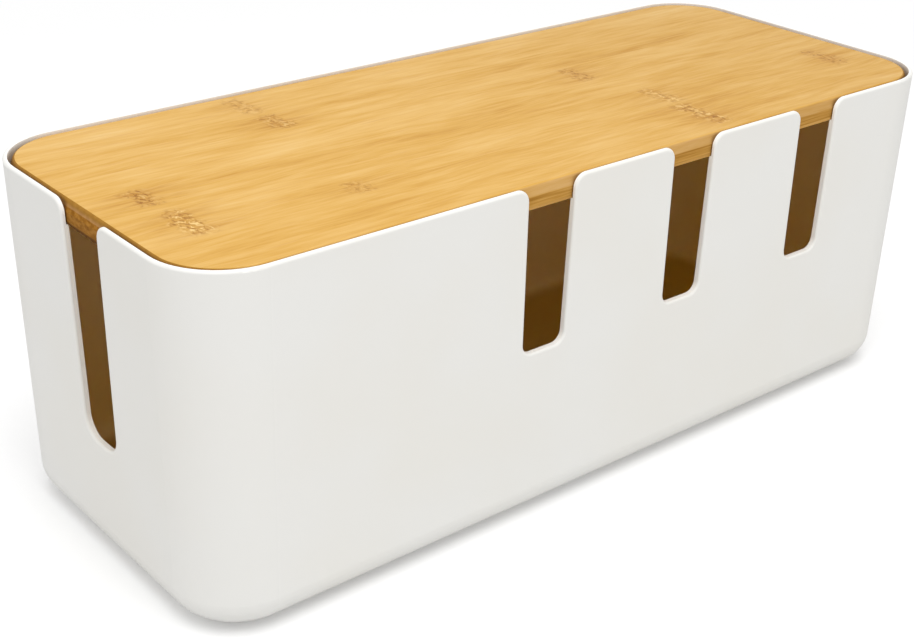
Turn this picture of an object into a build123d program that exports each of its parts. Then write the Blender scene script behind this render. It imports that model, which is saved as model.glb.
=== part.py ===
from build123d import *
import math
import os

# Cable management box: a moulded tub with open-topped cable slots, a drop-in
# bamboo lid that rests on a step inside the rim, and four anti-slip foot pads.
# Frame: +X along the length, -Y is the side with the row of slots, -X is the
# end with the single slot, Z = 0 is the surface that the box stands on.

# Tub
box_length = 320.0            # over the rim, along X
box_width = 130.0             # over the rim, along Y
tub_height = 119.0            # underside of the floor to the top of the rim
wall_thickness = 2.1
floor_thickness = 3.0
corner_radius = 24.0          # plan corner of the rim's outer outline
base_edge_radius = 11.0       # round between the walls and the floor, outside
wall_draft = 0.8              # degrees that each wall leans inward going down
lip_thickness = 1.45          # what is left of the wall beside the lid
rim_round = 0.9               # outer edge of the rim and of the slot mouths
lip_round = 0.3               # inner edge of the rim

# Cable slots, open at the rim
slot_width = 18.9             # at the rim, three in the long wall
slot_depth = 57.0             # below the rim
slot_count = 3
slot_pitch = 62.7
last_slot_from_end = 69.5     # centre of the last slot to the +X end of the rim
slot_floor_radius = 4.0
end_slot_width = 21.4         # at the rim, one in the -X wall
end_slot_depth = 77.0
end_slot_offset = -2.4        # centre of the end slot along Y
end_slot_floor_radius = 7.0
slot_mouth_radius = 4.5       # where a slot side turns over into the rim
slot_draft = 0.86             # degrees that each slot side leans inward

# Lid
lid_thickness = 7.45
lid_recess = 0.5              # top of the lid below the top of the rim
lid_side_gap = 0.35           # lid to lip, along Y
lid_end_gap = 0.35            # lid to lip, along X
lid_bevel_in = 1.3            # top edge, measured across the top
lid_bevel_drop = 3.3          # top edge, measured down the side
lid_edge_round = 1.3          # where the top meets the bevel
lid_underside_chamfer = 0.1

# Foot pads
pad_diameter = 14.0
pad_thickness = 2.0
pad_drop = 1.0                # how far a pad stands out below the floor
pad_edge_round = 0.4
pad_from_end = 34.0           # pad centre to the end of the rim outline
pad_from_side = 30.0          # pad centre to the side of the rim outline

# Levels
rim_z = pad_drop + tub_height
ledge_z = rim_z - lid_recess - lid_thickness
floor_top_z = pad_drop + floor_thickness
lean = math.tan(math.radians(wall_draft))
slot_lean = math.tan(math.radians(slot_draft))
tolerance = 0.01


def drafted_block(inset, low_z, high_z):
    """Block whose sides run parallel to the tub's outer walls, inset from them."""
    top_inset = inset + (rim_z - high_z) * lean
    outline = RectangleRounded(
        box_length - 2 * top_inset,
        box_width - 2 * top_inset,
        corner_radius - top_inset,
    )
    return extrude(Pos(0, 0, high_z) * outline, amount=low_z - high_z, taper=wall_draft)


def rounded_base(block, radius):
    """The block with a round along its bottom edges."""
    return fillet(block.faces().sort_by(Axis.Z)[0].edges(), radius)


def on_wall_surface(point, inset):
    """True where a point lies on the drafted surface at this inset from the outer wall."""
    over_x = abs(point.X) - (box_length / 2 - corner_radius)
    over_y = abs(point.Y) - (box_width / 2 - corner_radius)
    outside = math.hypot(max(over_x, 0), max(over_y, 0))
    inside = min(max(over_x, over_y), 0)
    radius = corner_radius - inset - (rim_z - point.Z) * lean
    return abs(outside + inside - radius) < tolerance


def slot_cutter(width, depth, floor_radius):
    """Solid that opens one slot: tapered sides, rounded floor, and a flared mouth.

    It is centred on the origin, with the rim at Z = 0 and the wall facing -Y.
    """
    half_mouth = width / 2
    half_floor = half_mouth - depth * slot_lean
    half_bar = half_mouth + 2 * slot_mouth_radius
    outline = Polygon(
        (-half_floor, -depth),
        (half_floor, -depth),
        (half_mouth, 0),
        (half_bar, 0),
        (half_bar, slot_mouth_radius),
        (-half_bar, slot_mouth_radius),
        (-half_bar, 0),
        (-half_mouth, 0),
        align=None,
    )
    floor_corners = outline.vertices().group_by(Axis.Y)[0]
    outline = fillet(floor_corners, floor_radius)
    mouth_corners = outline.vertices().filter_by(
        lambda v: abs(abs(v.X) - half_mouth) < tolerance and abs(v.Y) < tolerance
    )
    outline = fillet(mouth_corners, slot_mouth_radius)
    reach = 2 * wall_thickness + depth * lean
    return extrude(Plane.XZ * outline, amount=reach, both=True)


def slot_centres():
    """X of each slot in the long wall."""
    last = box_length / 2 - last_slot_from_end
    return [last - slot_pitch * index for index in range(slot_count)]


def slot_cutters():
    """All the slot cutters in place."""
    long_cutter = slot_cutter(slot_width, slot_depth, slot_floor_radius)
    cutters = [Pos(x, -box_width / 2, rim_z) * long_cutter for x in slot_centres()]
    end_cutter = slot_cutter(end_slot_width, end_slot_depth, end_slot_floor_radius)
    cutters.append(Pos(-box_length / 2, end_slot_offset, rim_z) * Rot(0, 0, -90) * end_cutter)
    return cutters


def touches_cutter(edge, cutters):
    """True where the middle of an edge lies on one of the slot cutters."""
    return any(cutter.distance_to(edge @ 0.5) < tolerance for cutter in cutters)


def pad_places():
    """Node name and plan position of each foot pad."""
    x = box_length / 2 - pad_from_end
    y = box_width / 2 - pad_from_side
    return {
        "foot_pad_front_left": (-x, -y),
        "foot_pad_front_right": (x, -y),
        "foot_pad_rear_left": (-x, y),
        "foot_pad_rear_right": (x, y),
    }


def make_pad():
    """One foot pad, standing on Z = 0."""
    pad = extrude(Circle(pad_diameter / 2), amount=pad_thickness)
    return fillet(pad.faces().sort_by(Axis.Z)[0].edges(), pad_edge_round)


def make_tub():
    """Drafted shell with a stepped rim, cable slots and pockets for the pads."""
    shell = rounded_base(drafted_block(0, pad_drop, rim_z), base_edge_radius)
    cavity = drafted_block(wall_thickness, floor_top_z, rim_z)
    shell -= rounded_base(cavity, base_edge_radius - wall_thickness)
    shell -= drafted_block(lip_thickness, ledge_z, rim_z)
    cutters = slot_cutters()
    for cutter in cutters:
        shell -= cutter

    outer_edges = shell.edges().filter_by(
        lambda e: on_wall_surface(e @ 0.5, 0)
        and (abs((e @ 0.5).Z - rim_z) < tolerance or touches_cutter(e, cutters))
    )
    shell = fillet(outer_edges, rim_round)
    inner_edges = shell.edges().filter_by(
        lambda e: on_wall_surface(e @ 0.5, lip_thickness)
        and (e @ 0.5).Z > rim_z - slot_mouth_radius
        and (abs((e @ 0.5).Z - rim_z) < tolerance or touches_cutter(e, cutters))
    )
    shell = fillet(inner_edges, lip_round)

    pocket = extrude(Circle(pad_diameter / 2), amount=pad_thickness)
    for x, y in pad_places().values():
        shell -= Pos(x, y, 0) * pocket
    return shell


def make_lid():
    """Board with a steep, softened bevel, lying on the step inside the rim."""
    outline = RectangleRounded(
        box_length - 2 * (lip_thickness + lid_end_gap),
        box_width - 2 * (lip_thickness + lid_side_gap),
        corner_radius - lip_thickness - lid_end_gap,
    )
    board = extrude(Pos(0, 0, ledge_z) * outline, amount=lid_thickness)
    top = board.faces().sort_by(Axis.Z)[-1]
    board = chamfer(top.edges(), lid_bevel_in, lid_bevel_drop, reference=top)
    board = fillet(board.faces().sort_by(Axis.Z)[-1].edges(), lid_edge_round)
    return chamfer(board.faces().sort_by(Axis.Z)[0].edges(), lid_underside_chamfer)


os.makedirs("parts", exist_ok=True)
export_step(make_tub(), "parts/tub.step")
export_step(make_lid(), "parts/lid.step")
for name, (x, y) in pad_places().items():
    export_step(Pos(x, y, 0) * make_pad(), f"parts/{name}.step")
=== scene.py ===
"""Looks of the cable management box: white moulded tub, bamboo lid, rubber foot pads.

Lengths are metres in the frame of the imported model: +X along the length, -Y is
the side with the row of slots, Z = 0 is the surface that the box stands on.
Shader lengths are millimetres, because the grain of the bamboo is that fine.
"""
import math

import bpy
from mathutils import Matrix, Vector

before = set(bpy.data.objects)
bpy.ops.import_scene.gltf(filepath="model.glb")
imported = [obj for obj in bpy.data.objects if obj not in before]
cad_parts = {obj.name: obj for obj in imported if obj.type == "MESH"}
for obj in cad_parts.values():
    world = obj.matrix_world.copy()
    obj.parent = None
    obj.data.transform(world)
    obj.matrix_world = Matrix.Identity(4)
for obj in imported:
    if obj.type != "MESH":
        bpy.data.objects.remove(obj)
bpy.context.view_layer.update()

MM = 0.001

# Camera
CAMERA_PLACE = (-0.33396, -0.37793, 0.28736)
CAMERA_AZIMUTH = -39.965
CAMERA_ELEVATION = 26.437
CAMERA_ROLL = 1.431
CAMERA_LENS = 60.511
CAMERA_NEAR = 0.01

# Lights and floor
WORLD_STRENGTH = 0.80
KEY_PLACE = (-0.22, -0.38, 1.18)
KEY_AIM = (0.0, 0.0, 0.06)
KEY_SIZE = 0.8
KEY_POWER = 6.7
FLOOR_HALF = 4.0
FLOOR_COLOUR = 0.70           # as it lights the box
FLOOR_SEEN = 0.84             # as the camera sees it
NEAR_GLOW, FAR_GLOW = 0.16, 0.45   # added for the camera alone, within NEAR_MM and past FAR_MM
NEAR_MM, FAR_MM = 500.0, 1600.0
DIFFUSE_BOUNCES = 24          # light reaches the closed inside only by many

# Tub, as far as the looks need its shape
LENGTH_MM = 320.0
WIDTH_MM = 130.0
CORNER_MM = 24.0
RIM_MM = 120.0                # height of the rim
DRAFT = math.tan(math.radians(0.8))
WALL_MM = 2.1
LIP_MM = 1.45
RIM_ROUND_MM = 0.9
FLOOR_TOP_MM = 4.0            # height of the floor inside
CUTS_FROM_MM = 30.0           # the slots and the rim lie above this height
SLOT_OUTSIDE, SLOT_INSIDE, SLOT_RIM, SLOT_LIP = range(4)

# How far the corners of a facet may lie off the surface that it belongs to
WALL_SLACK_MM = 0.25
LIP_SLACK_MM = 0.08
SLACK_MM = 0.1

# Lid: height of its top, then depths below that
LID_TOP_MM = 119.5
LID_THICK_MM = 7.45
BEVEL_MM = 3.3
END_BEVEL_FROM_MM = 0.6
END_SEAM_MM = 1.95
# Depth below which painted shade darkens the foot of the ends
END_FOOT_MM = 6.5
# Depths over which a painted highlight lightens the foot of the long edges
SIDE_FOOT_HIGHLIGHT_MM = (LID_THICK_MM - 1.1, LID_THICK_MM - 0.6)
FLAT_NORMAL = 0.97            # steeper faces take the edge's material
CREVICE_REACH_MM = 3.5

# Bamboo strips, and growth nodes: x and y of the middle, half length across the
# grain, strength, and how much of the mark is pale
STRIP_MM = 18.0
STRIP_START_MM = 2.0
NODES_MM = (
    (-139.5, -3.0, 7.0, 1.0, 0.35), (-138.0, -26.0, 10.5, 0.9, 0.9),
    (-72.0, 50.0, 9.5, 0.55, 0.6), (-71.5, 31.0, 7.5, 0.85, 0.5),
    (-84.0, -32.5, 5.0, 0.55, 0.4), (45.5, 11.0, 8.0, 0.75, 0.3),
    (53.0, -24.0, 9.0, 0.6, 1.0), (50.5, -46.0, 11.5, 0.9, 0.7),
    (139.0, -27.5, 10.5, 0.75, 0.15),
)


def srgb(red, green, blue):
    """Linear RGBA of an 8-bit sRGB colour."""
    def linear(value):
        value /= 255
        return value / 12.92 if value <= 0.04045 else ((value + 0.055) / 1.055) ** 2.4
    return (linear(red), linear(green), linear(blue), 1.0)


def grey(level):
    """RGBA of a linear grey."""
    return (level, level, level, 1.0)


# Plastic and rubber: plain colour, and the one that it drifts to
OUTSIDE = (srgb(240, 239, 235), srgb(239, 237, 231))
# Rim top and cut faces of the slots: a whiter copy of the plastic, painted highlight
RIM_PAINTED_HIGHLIGHT = (srgb(255, 254, 250), srgb(255, 253, 247))
# Inner face of the lip beside the lid: a whiter copy of the plastic, painted light
LIP_PAINTED_LIGHT = (srgb(255, 255, 252), srgb(255, 254, 250))
# Painted shade in the crevice between the lip and the lid, where the AO node finds the lip shut
# in
LIP_CREVICE_SHADE = srgb(188, 158, 104)
INSIDE = (srgb(250, 246, 229), srgb(249, 244, 226))
# Floor inside the tub: painted shade, a darker colour than the walls
INSIDE_FLOOR_SHADE = srgb(203, 187, 140)

# Walls and floor inside as bounced light meets them. It isn't the colour that is
# seen there: it stands in for the warm dimness behind the slots
INSIDE_BOUNCED = (srgb(255, 249, 90), srgb(219, 190, 60))
RUBBER = ((0.30, srgb(168, 168, 165)), (0.70, srgb(186, 186, 183)))

# Bamboo
BOARD = (
    (0.22, srgb(196, 143, 56)), (0.42, srgb(213, 165, 80)),
    (0.58, srgb(222, 178, 101)), (0.80, srgb(230, 193, 127)),
)
# Tint that the wood of the top turns to towards +X
PLUS_X_TINT = srgb(233, 229, 224)
STREAK = srgb(199, 145, 78)
NODE_TAIL = srgb(184, 128, 44)
NODE_CORE = srgb(192, 136, 54)
NODE_PIT = srgb(142, 87, 14)
NODE_PALE = srgb(250, 220, 152)
SIDE_BEVEL = (0.84, 0.82, 1.0, 1.0)
SIDE_LAYERS = ((0.36, srgb(167, 117, 44)), (0.50, srgb(188, 138, 62)), (0.64, srgb(205, 157, 82)))
# Painted highlight along the foot of the long edges
SIDE_FOOT_HIGHLIGHT = srgb(208, 164, 100)
END_BEVEL = (srgb(166, 119, 46), srgb(182, 135, 82))
END_MOTTLE = ((0.36, srgb(238, 236, 230)), (0.66, srgb(255, 255, 255)))
END_CUT = ((0.36, srgb(136, 86, 15)), (0.50, srgb(154, 102, 28)), (0.66, srgb(171, 118, 44)))
# Painted shade on the foot of the ends, the dark of the inside below the lid
END_FOOT_SHADE = srgb(90, 54, 9)
UNDERSIDE = srgb(240, 206, 118)
# Painted shade in the crevice between the lid's edge and the rim
EDGE_CREVICE_SHADE = srgb(112, 80, 44)


# ---------------------------------------------------------------- shader helpers
class Graph:
    """Short calls for building one material's nodes."""

    def __init__(self, name):
        self.material = bpy.data.materials.new(name)
        self.material.use_nodes = True
        self.tree = self.material.node_tree
        self.tree.nodes.clear()
        self.output = self.tree.nodes.new("ShaderNodeOutputMaterial")

    def node(self, kind, **settings):
        made = self.tree.nodes.new(kind)
        for name, value in settings.items():
            setattr(made, name, value)
        return made

    def feed(self, socket, value):
        """Links a socket to another, or sets it to a constant."""
        if isinstance(value, bpy.types.NodeSocket):
            self.tree.links.new(value, socket)
        else:
            socket.default_value = value

    def math(self, operation, *values):
        made = self.node("ShaderNodeMath", operation=operation)
        for socket, value in zip(made.inputs, values):
            self.feed(socket, value)
        return made.outputs[0]

    def add(self, a, b):
        return self.math("ADD", a, b)

    def times(self, a, b):
        return self.math("MULTIPLY", a, b)

    def minus(self, a, b):
        return self.math("SUBTRACT", a, b)

    def larger(self, a, b):
        return self.math("MAXIMUM", a, b)

    def absolute(self, a):
        return self.math("ABSOLUTE", a)

    def span(self, value, floor_shade, high, out_low=0.0, out_high=1.0):
        """Value mapped softly from low..high to out_low..out_high, held at the ends."""
        made = self.node("ShaderNodeMapRange", interpolation_type="SMOOTHSTEP", clamp=True)
        for socket, number in zip(made.inputs, (value, floor_shade, high, out_low, out_high)):
            self.feed(socket, number)
        return made.outputs[0]

    def mix(self, factor, a, b, blend="MIX"):
        """Colour a turned into b by factor."""
        made = self.node("ShaderNodeMix", data_type="RGBA", blend_type=blend)
        self.feed(made.inputs[0], factor)
        self.feed(made.inputs[6], a)
        self.feed(made.inputs[7], b)
        return made.outputs[2]

    def tinted(self, a, b):
        """Colour a multiplied by b."""
        return self.mix(1.0, a, b, "MULTIPLY")

    def ramp(self, factor, stops):
        """Colour ramp through (place, colour) stops."""
        made = self.node("ShaderNodeValToRGB")
        elements = made.color_ramp.elements
        while len(elements) < len(stops):
            elements.new(0.5)
        for element, (place, colour) in zip(elements, stops):
            element.position = place
            element.color = colour
        self.feed(made.inputs[0], factor)
        return made.outputs[0]

    def place_mm(self):
        """X, Y and Z of the point in the object's own frame, in millimetres."""
        coords = self.node("ShaderNodeTexCoord")
        scaled = self.node("ShaderNodeVectorMath", operation="SCALE")
        self.feed(scaled.inputs[0], coords.outputs["Object"])
        scaled.inputs["Scale"].default_value = 1 / MM
        split = self.node("ShaderNodeSeparateXYZ")
        self.feed(split.inputs[0], scaled.outputs[0])
        return split.outputs[0], split.outputs[1], split.outputs[2]

    def vector(self, x, y, z):
        made = self.node("ShaderNodeCombineXYZ")
        for socket, value in zip(made.inputs, (x, y, z)):
            self.feed(socket, value)
        return made.outputs[0]

    def noise(self, place, scale=1.0, detail=2.0, roughness=0.5, distortion=0.0):
        made = self.node("ShaderNodeTexNoise", noise_dimensions="3D")
        self.feed(made.inputs["Vector"], place)
        made.inputs["Scale"].default_value = scale
        made.inputs["Detail"].default_value = detail
        made.inputs["Roughness"].default_value = roughness
        made.inputs["Distortion"].default_value = distortion
        return made.outputs["Fac"]

    def normal_axis(self, axis):
        """One component of the surface normal, in the object's own frame."""
        coords = self.node("ShaderNodeTexCoord")
        split = self.node("ShaderNodeSeparateXYZ")
        self.feed(split.inputs[0], coords.outputs["Normal"])
        return split.outputs[axis]

    def bump(self, height, distance_mm):
        made = self.node("ShaderNodeBump")
        made.inputs["Strength"].default_value = 1.0
        made.inputs["Distance"].default_value = distance_mm * MM
        self.feed(made.inputs["Height"], height)
        return made.outputs[0]

    def crevice(self, deep, clear):
        """1 where nearby surfaces shut the point in, 0 where it lies free."""
        made = self.node("ShaderNodeAmbientOcclusion", samples=6)
        made.inputs["Distance"].default_value = CREVICE_REACH_MM * MM
        return self.span(made.outputs["AO"], deep, clear, 1.0, 0.0)

    def finish(self, colour, roughness, normal, ior, specular=0.5):
        """Principled surface, linked to the output."""
        surface = self.node("ShaderNodeBsdfPrincipled")
        self.feed(surface.inputs["Base Color"], colour)
        self.feed(surface.inputs["Roughness"], roughness)
        self.feed(surface.inputs["Normal"], normal)
        surface.inputs["IOR"].default_value = ior
        surface.inputs["Specular IOR Level"].default_value = specular
        self.tree.links.new(surface.outputs[0], self.output.inputs["Surface"])
        return self.material


# ---------------------------------------------------------------- plastic and rubber
def plastic(name, colours, floor_shade=None, bounced=None, crevice_shade=None):
    """Satin moulded plastic: fine spark-eroded texture and a hardly visible flow.

    Painted shade darkens the floor of the tub and its crevices, each in a colour of its own, and
    bounced is the pair of colours, of walls and floor, that light takes on inside.
    """
    g = Graph(name)
    place = g.vector(*g.place_mm())
    flow = g.noise(place, scale=0.018)
    grain = g.noise(place, scale=2.6, detail=3.0, roughness=0.6)
    tint = g.mix(g.span(flow, 0.3, 0.7), *colours)
    # Painted shade: the floor of the tub darker than its walls
    if floor_shade:
        tint = g.mix(on_tub_floor(g), tint, floor_shade)
    if bounced:
        rays = g.node("ShaderNodeLightPath")
        tint = g.mix(rays.outputs["Is Camera Ray"], g.mix(on_tub_floor(g), *bounced), tint)
    # Painted shade where nearby surfaces shut the point in
    if crevice_shade:
        tint = g.mix(g.times(g.crevice(0.36, 0.56), 0.5), tint, crevice_shade)
    rough = g.add(g.span(grain, 0.3, 0.7, -0.03, 0.03), g.span(flow, 0.3, 0.7, 0.40, 0.46))
    return g.finish(tint, rough, g.bump(grain, 0.012), ior=1.48)


def on_tub_floor(g):
    """1 on the floor inside the tub, 0 on its walls."""
    height = g.place_mm()[2]
    return g.span(height, FLOOR_TOP_MM + 0.2, FLOOR_TOP_MM + 3.5, 1.0, 0.0)


def rubber():
    """Dull grey of the foot pads."""
    g = Graph("foot_rubber")
    grain = g.noise(g.vector(*g.place_mm()), scale=4.0)
    return g.finish(g.ramp(grain, RUBBER), 0.72, g.bump(grain, 0.02), ior=1.5)


# ---------------------------------------------------------------- bamboo
class Wood:
    """Edge-glued bamboo strips: long fibres and growth nodes, in one shader graph."""

    def __init__(self, name):
        self.graph = g = Graph(name)
        self.x, self.y, self.z = g.place_mm()
        strip = g.math("FLOOR", g.math("DIVIDE", g.minus(self.y, STRIP_START_MM), STRIP_MM))
        chance = g.node("ShaderNodeTexWhiteNoise", noise_dimensions="1D")
        g.feed(chance.inputs["W"], strip)
        self.lot = chance.outputs["Value"]

        # Each strip has its own stretch of grain, which drifts a little sideways
        self.along = g.add(self.x, g.times(self.lot, 700.0))
        slow = g.vector(g.times(self.along, 0.016), g.times(self.y, 0.03), 0.0)
        drift = g.minus(g.noise(slow, detail=1.0), 0.5)
        self.over = g.add(self.y, g.times(drift, 7.0))
        self.fibre = self.grain(0.072, 1.25, detail=3.0, roughness=0.6)

    def grain(self, per_x, per_y, **settings):
        """Noise about zero, drawn out along the strip, with this many waves a millimetre."""
        g = self.graph
        place = g.vector(
            g.times(self.along, per_x), g.times(self.over, per_y), g.times(self.z, per_y),
        )
        return g.minus(g.noise(place, **settings), 0.5)

    def board(self):
        """Colour of the plain strips."""
        g = self.graph
        tone = g.add(g.times(g.minus(self.lot, 0.5), 0.08), 0.5)
        for part, weight in (
            (self.grain(0.015, 0.06), 0.38),
            (self.grain(0.031, 0.28, detail=3.0, roughness=0.55), 0.60),
            (self.fibre, 0.28),
            (self.grain(0.22, 4.2, roughness=0.6), 0.12),
        ):
            tone = g.add(tone, g.times(part, weight))
        colour = g.ramp(tone, BOARD)
        # The top turns darker towards +X
        toward_plus_x = g.span(self.x, -100.0, 150.0, 0.0, 0.40)
        colour = g.mix(toward_plus_x, colour, g.tinted(colour, PLUS_X_TINT))
        streak = g.span(self.grain(0.04, 0.85), 0.10, 0.26, 0.0, 0.34)
        return g.mix(streak, colour, STREAK)

    def node_marks(self):
        """How far the point lies in the core, the tails and the pale flecks of a growth node."""
        g = self.graph
        ragged = g.vector(g.times(self.x, 0.10), g.times(self.y, 0.22), 0.0)
        wobble = g.times(g.minus(g.noise(ragged, detail=3.0), 0.5), 9.0)
        cores, tails, pales = 0.0, 0.0, 0.0
        for node_x, node_y, half, strength, pale in NODES_MM:
            off_x = g.absolute(g.add(g.minus(self.x, node_x), wobble))
            off_y = g.absolute(g.minus(self.y, node_y))
            across = g.span(off_y, half * 0.65, half * 1.2, 1.0, 0.0)
            core = g.times(g.span(off_x, 1.5, 5.5, strength, 0.0), across)
            tail = g.times(g.span(off_x, 2.0, 20.0, strength, 0.0), across)
            cores = g.larger(cores, core)
            tails = g.larger(tails, tail)
            pales = g.larger(pales, g.times(core, pale))
        return cores, tails, pales

    def nodes(self, colour):
        """The colour with the growth nodes: flecks across the strip and drawn-out tails."""
        g = self.graph
        cores, tails, pales = self.node_marks()
        fleck_place = g.vector(
            g.add(g.times(self.x, 0.62), g.times(self.y, 0.20)),
            g.add(g.times(self.y, 0.42), g.times(self.x, -0.12)),
            0.0,
        )
        fleck = g.noise(fleck_place, roughness=0.6, distortion=0.7)
        dark = g.span(fleck, 0.50, 0.64, 0.10, 0.80)
        light = g.span(fleck, 0.36, 0.47, 0.75, 0.0)
        streaks = g.span(self.grain(0.07, 0.6, detail=3.0), -0.10, 0.18, 0.12, 0.62)
        self.pits = g.times(cores, dark)
        colour = g.mix(g.times(tails, streaks), colour, NODE_TAIL)
        colour = g.mix(g.times(cores, 0.30), colour, NODE_CORE)
        colour = g.mix(self.pits, colour, NODE_PIT)
        return g.mix(g.times(pales, light), colour, NODE_PALE)

    def side_colour(self, top, depth):
        """Long edges: the bevel keeps the top's wood, below it the layers show, and a painted
        highlight lightens the foot.
        """
        g = self.graph
        layer_place = g.vector(g.times(self.x, 0.03), 0.0, g.times(self.z, 1.15))
        layers = g.ramp(g.noise(layer_place, detail=3.0, roughness=0.6), SIDE_LAYERS)
        below_bevel = g.span(depth, BEVEL_MM - 0.3, BEVEL_MM + 0.2)
        colour = g.mix(below_bevel, g.tinted(top, SIDE_BEVEL), layers)
        # Painted highlight: the foot of the edge lighter
        return g.mix(g.span(depth, *SIDE_FOOT_HIGHLIGHT_MM, 0.0, 0.35), colour, SIDE_FOOT_HIGHLIGHT)

    def end_colour(self, depth):
        """Ends, cut across the fibres: pale bevel, darker band, and painted shade on the foot."""
        g = self.graph
        pores = g.vector(g.times(self.x, 0.3), g.times(self.y, 0.55), g.times(self.z, 0.9))
        speckle = g.noise(pores, detail=3.0)
        bevel = g.mix(g.span(depth, END_BEVEL_FROM_MM, END_SEAM_MM), *END_BEVEL)
        bevel = g.tinted(bevel, g.ramp(speckle, END_MOTTLE))
        below_seam = g.span(depth, END_SEAM_MM - 0.2, END_SEAM_MM + 0.2)
        colour = g.mix(below_seam, bevel, g.ramp(speckle, END_CUT))
        # Painted shade on the foot
        foot_shade = g.span(depth, END_FOOT_MM - 0.2, END_FOOT_MM + 0.2, 0.0, 0.9)
        return g.mix(foot_shade, colour, END_FOOT_SHADE)

    def with_crevice_shade(self, colour):
        """The colour with painted shade where the edge dips beside the rim, on the sides that
        face -X and -Y.
        """
        g = self.graph
        facing = g.math("MINIMUM", g.normal_axis(0), g.normal_axis(1))
        faces_minus_x_or_y = g.span(facing, -0.5, -0.1, 0.65, 0.0)
        return g.mix(g.times(g.crevice(0.35, 0.92), faces_minus_x_or_y), colour, EDGE_CREVICE_SHADE)


def bamboo_top():
    """Upper face of the lid."""
    wood = Wood("bamboo")
    g = wood.graph
    colour = wood.nodes(wood.board())
    rough = g.span(wood.fibre, -0.2, 0.2, 0.50, 0.42)
    relief = g.add(wood.fibre, g.times(wood.pits, -0.6))
    return g.finish(colour, rough, g.bump(relief, 0.03), ior=1.46, specular=0.15)


def bamboo_edge():
    """Bevel, sides and underside of the lid."""
    wood = Wood("bamboo_edge")
    g = wood.graph
    depth = g.minus(LID_TOP_MM, wood.z)
    top = wood.nodes(wood.board())
    on_end = g.span(g.absolute(g.normal_axis(0)), 0.02, 0.36)
    on_side = g.span(g.absolute(g.normal_axis(1)), 0.4, 0.8)
    below = g.span(g.normal_axis(2), -0.9, -0.5, 1.0, 0.0)
    colour = g.mix(on_side, top, wood.side_colour(top, depth))
    colour = g.mix(on_end, colour, wood.end_colour(depth))
    colour = wood.with_crevice_shade(g.mix(below, colour, UNDERSIDE))
    return g.finish(colour, 0.6, g.bump(wood.fibre, 0.03), ior=1.46, specular=0.08)


# ---------------------------------------------------------------- the object
def wall_inset(point):
    """How far a point lies inside the tub's drafted outer surface, in millimetres."""
    x, y, z = (value / MM for value in point)
    over_x = abs(x) - (LENGTH_MM / 2 - CORNER_MM)
    over_y = abs(y) - (WIDTH_MM / 2 - CORNER_MM)
    outside = math.hypot(max(over_x, 0), max(over_y, 0)) + min(max(over_x, over_y), 0)
    return CORNER_MM - outside - (RIM_MM - z) * DRAFT


def tub_slot(face, mesh):
    """Material slot of a face of the tub, from where its corners lie in the wall."""
    corners = [mesh.vertices[index].co for index in face.vertices]
    insets = [wall_inset(corner) for corner in corners]
    floor_shade = min(corner.z for corner in corners) / MM
    if min(insets) > WALL_MM - WALL_SLACK_MM and floor_shade > FLOOR_TOP_MM - SLACK_MM:
        return SLOT_INSIDE
    if floor_shade <= CUTS_FROM_MM:
        return SLOT_OUTSIDE
    if max(abs(inset - LIP_MM) for inset in insets) < LIP_SLACK_MM:
        return SLOT_LIP
    return SLOT_RIM if min(insets) > RIM_ROUND_MM - SLACK_MM else SLOT_OUTSIDE


def dress(name, *materials):
    """Gives a CAD node its materials, and returns its mesh."""
    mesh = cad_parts[name].data
    mesh.materials.clear()
    for material in materials:
        mesh.materials.append(material)
    return mesh


def dress_object():
    """Materials of every piece: by wall surface on the tub, by slope on the lid."""
    tub = dress(
        "tub",
        plastic("tub_plastic", OUTSIDE),
        plastic("tub_inside", INSIDE, floor_shade=INSIDE_FLOOR_SHADE, bounced=INSIDE_BOUNCED),
        plastic("tub_rim", RIM_PAINTED_HIGHLIGHT),
        plastic("tub_lip", LIP_PAINTED_LIGHT, crevice_shade=LIP_CREVICE_SHADE),
    )
    for face in tub.polygons:
        face.material_index = tub_slot(face, tub)
    lid = dress("lid", bamboo_top(), bamboo_edge())
    for face in lid.polygons:
        face.material_index = 0 if face.normal.z > FLAT_NORMAL else 1
    pad_rubber = rubber()
    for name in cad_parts:
        if name.startswith("foot_pad"):
            dress(name, pad_rubber)


# ---------------------------------------------------------------- studio
def floor_material():
    """White floor that keeps the box's shadow and meets a white background."""
    g = Graph("studio_floor")
    seen = g.node("ShaderNodeLightPath").outputs["Is Camera Ray"]
    diffuse = g.node("ShaderNodeBsdfDiffuse")
    g.feed(diffuse.inputs["Color"], g.mix(seen, grey(FLOOR_COLOUR), grey(FLOOR_SEEN)))
    x, y, _ = g.place_mm()
    away = g.math("SQRT", g.add(g.times(x, x), g.times(y, y)))
    strength = g.span(away, NEAR_MM, FAR_MM, NEAR_GLOW, FAR_GLOW)
    glow = g.node("ShaderNodeEmission")
    g.feed(glow.inputs["Strength"], g.times(seen, strength))
    both = g.node("ShaderNodeAddShader")
    g.feed(both.inputs[0], diffuse.outputs[0])
    g.feed(both.inputs[1], glow.outputs[0])
    g.feed(g.output.inputs["Surface"], both.outputs[0])
    return g.material


def add_floor():
    half = FLOOR_HALF
    corners = [(-half, -half, 0), (half, -half, 0), (half, half, 0), (-half, half, 0)]
    mesh = bpy.data.meshes.new("studio_floor")
    mesh.from_pydata(corners, [], [(0, 1, 2, 3)])
    floor = bpy.data.objects.new("studio_floor", mesh)
    bpy.context.scene.collection.objects.link(floor)
    mesh.materials.append(floor_material())


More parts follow.
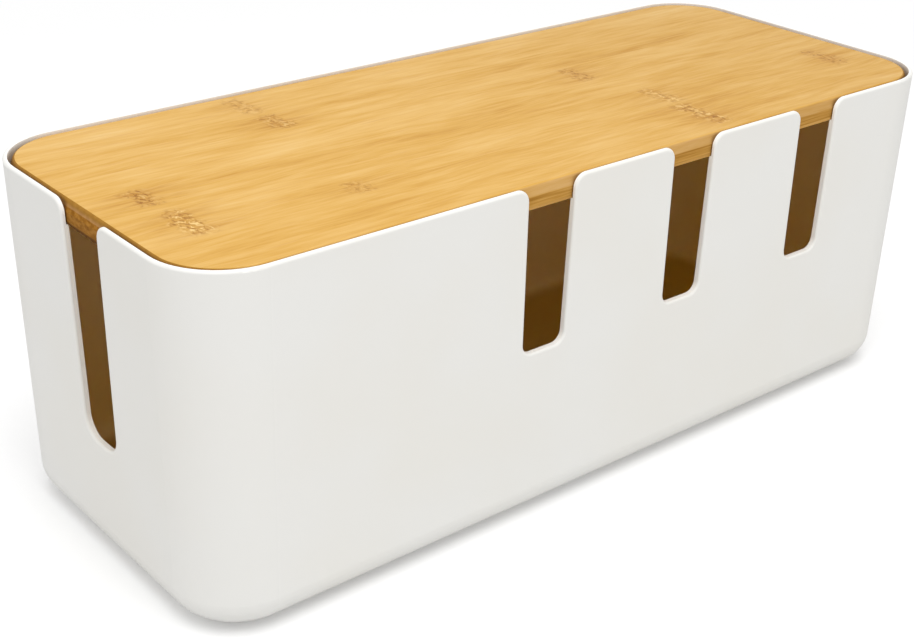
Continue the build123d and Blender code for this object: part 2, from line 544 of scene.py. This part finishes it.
def add_world():
    """Even white surroundings, shown as plain white."""
    world = bpy.data.worlds.new("studio_world")
    bpy.context.scene.world = world
    world.use_nodes = True
    tree = world.node_tree
    tree.nodes.clear()
    output = tree.nodes.new("ShaderNodeOutputWorld")
    rays = tree.nodes.new("ShaderNodeLightPath")
    seen = tree.nodes.new("ShaderNodeMath")
    seen.operation = "MAXIMUM"
    tree.links.new(rays.outputs["Is Camera Ray"], seen.inputs[0])
    tree.links.new(rays.outputs["Is Transmission Ray"], seen.inputs[1])
    strength = tree.nodes.new("ShaderNodeMapRange")
    tree.links.new(seen.outputs[0], strength.inputs[0])
    strength.inputs["To Min"].default_value = WORLD_STRENGTH
    strength.inputs["To Max"].default_value = 1.0
    back = tree.nodes.new("ShaderNodeBackground")
    back.inputs["Color"].default_value = grey(1.0)
    tree.links.new(strength.outputs[0], back.inputs["Strength"])
    tree.links.new(back.outputs[0], output.inputs["Surface"])


def add_key():
    """Round soft lamp, high in front of the box."""
    light = bpy.data.lights.new("key_soft", "AREA")
    light.shape = "DISK"
    light.size = KEY_SIZE
    light.energy = KEY_POWER
    lamp = bpy.data.objects.new("key_soft", light)
    lamp.location = KEY_PLACE
    lamp.rotation_mode = "QUATERNION"
    lamp.rotation_quaternion = (Vector(KEY_AIM) - Vector(KEY_PLACE)).to_track_quat("-Z", "Y")
    bpy.context.scene.collection.objects.link(lamp)


def add_camera():
    azimuth, elevation, roll = (
        math.radians(angle) for angle in (CAMERA_AZIMUTH, CAMERA_ELEVATION, CAMERA_ROLL)
    )
    back = Vector((
        math.sin(azimuth) * math.cos(elevation),
        -math.cos(azimuth) * math.cos(elevation),
        math.sin(elevation),
    ))
    level = Vector((0, 0, 1)).cross(back).normalized()
    upright = back.cross(level)
    right = level * math.cos(roll) + upright * math.sin(roll)
    up = upright * math.cos(roll) - level * math.sin(roll)
    turn = Matrix((right, up, back)).transposed().to_4x4()
    data = bpy.data.cameras.new("photo_camera")
    data.lens = CAMERA_LENS
    data.clip_start = CAMERA_NEAR
    camera = bpy.data.objects.new("photo_camera", data)
    camera.matrix_world = Matrix.Translation(CAMERA_PLACE) @ turn
    bpy.context.scene.collection.objects.link(camera)
    bpy.context.scene.camera = camera


dress_object()
add_floor()
add_world()
add_key()
add_camera()
bpy.context.scene.cycles.max_bounces = DIFFUSE_BOUNCES
bpy.context.scene.cycles.diffuse_bounces = DIFFUSE_BOUNCES
bpy.context.scene.view_settings.view_transform = "Standard"
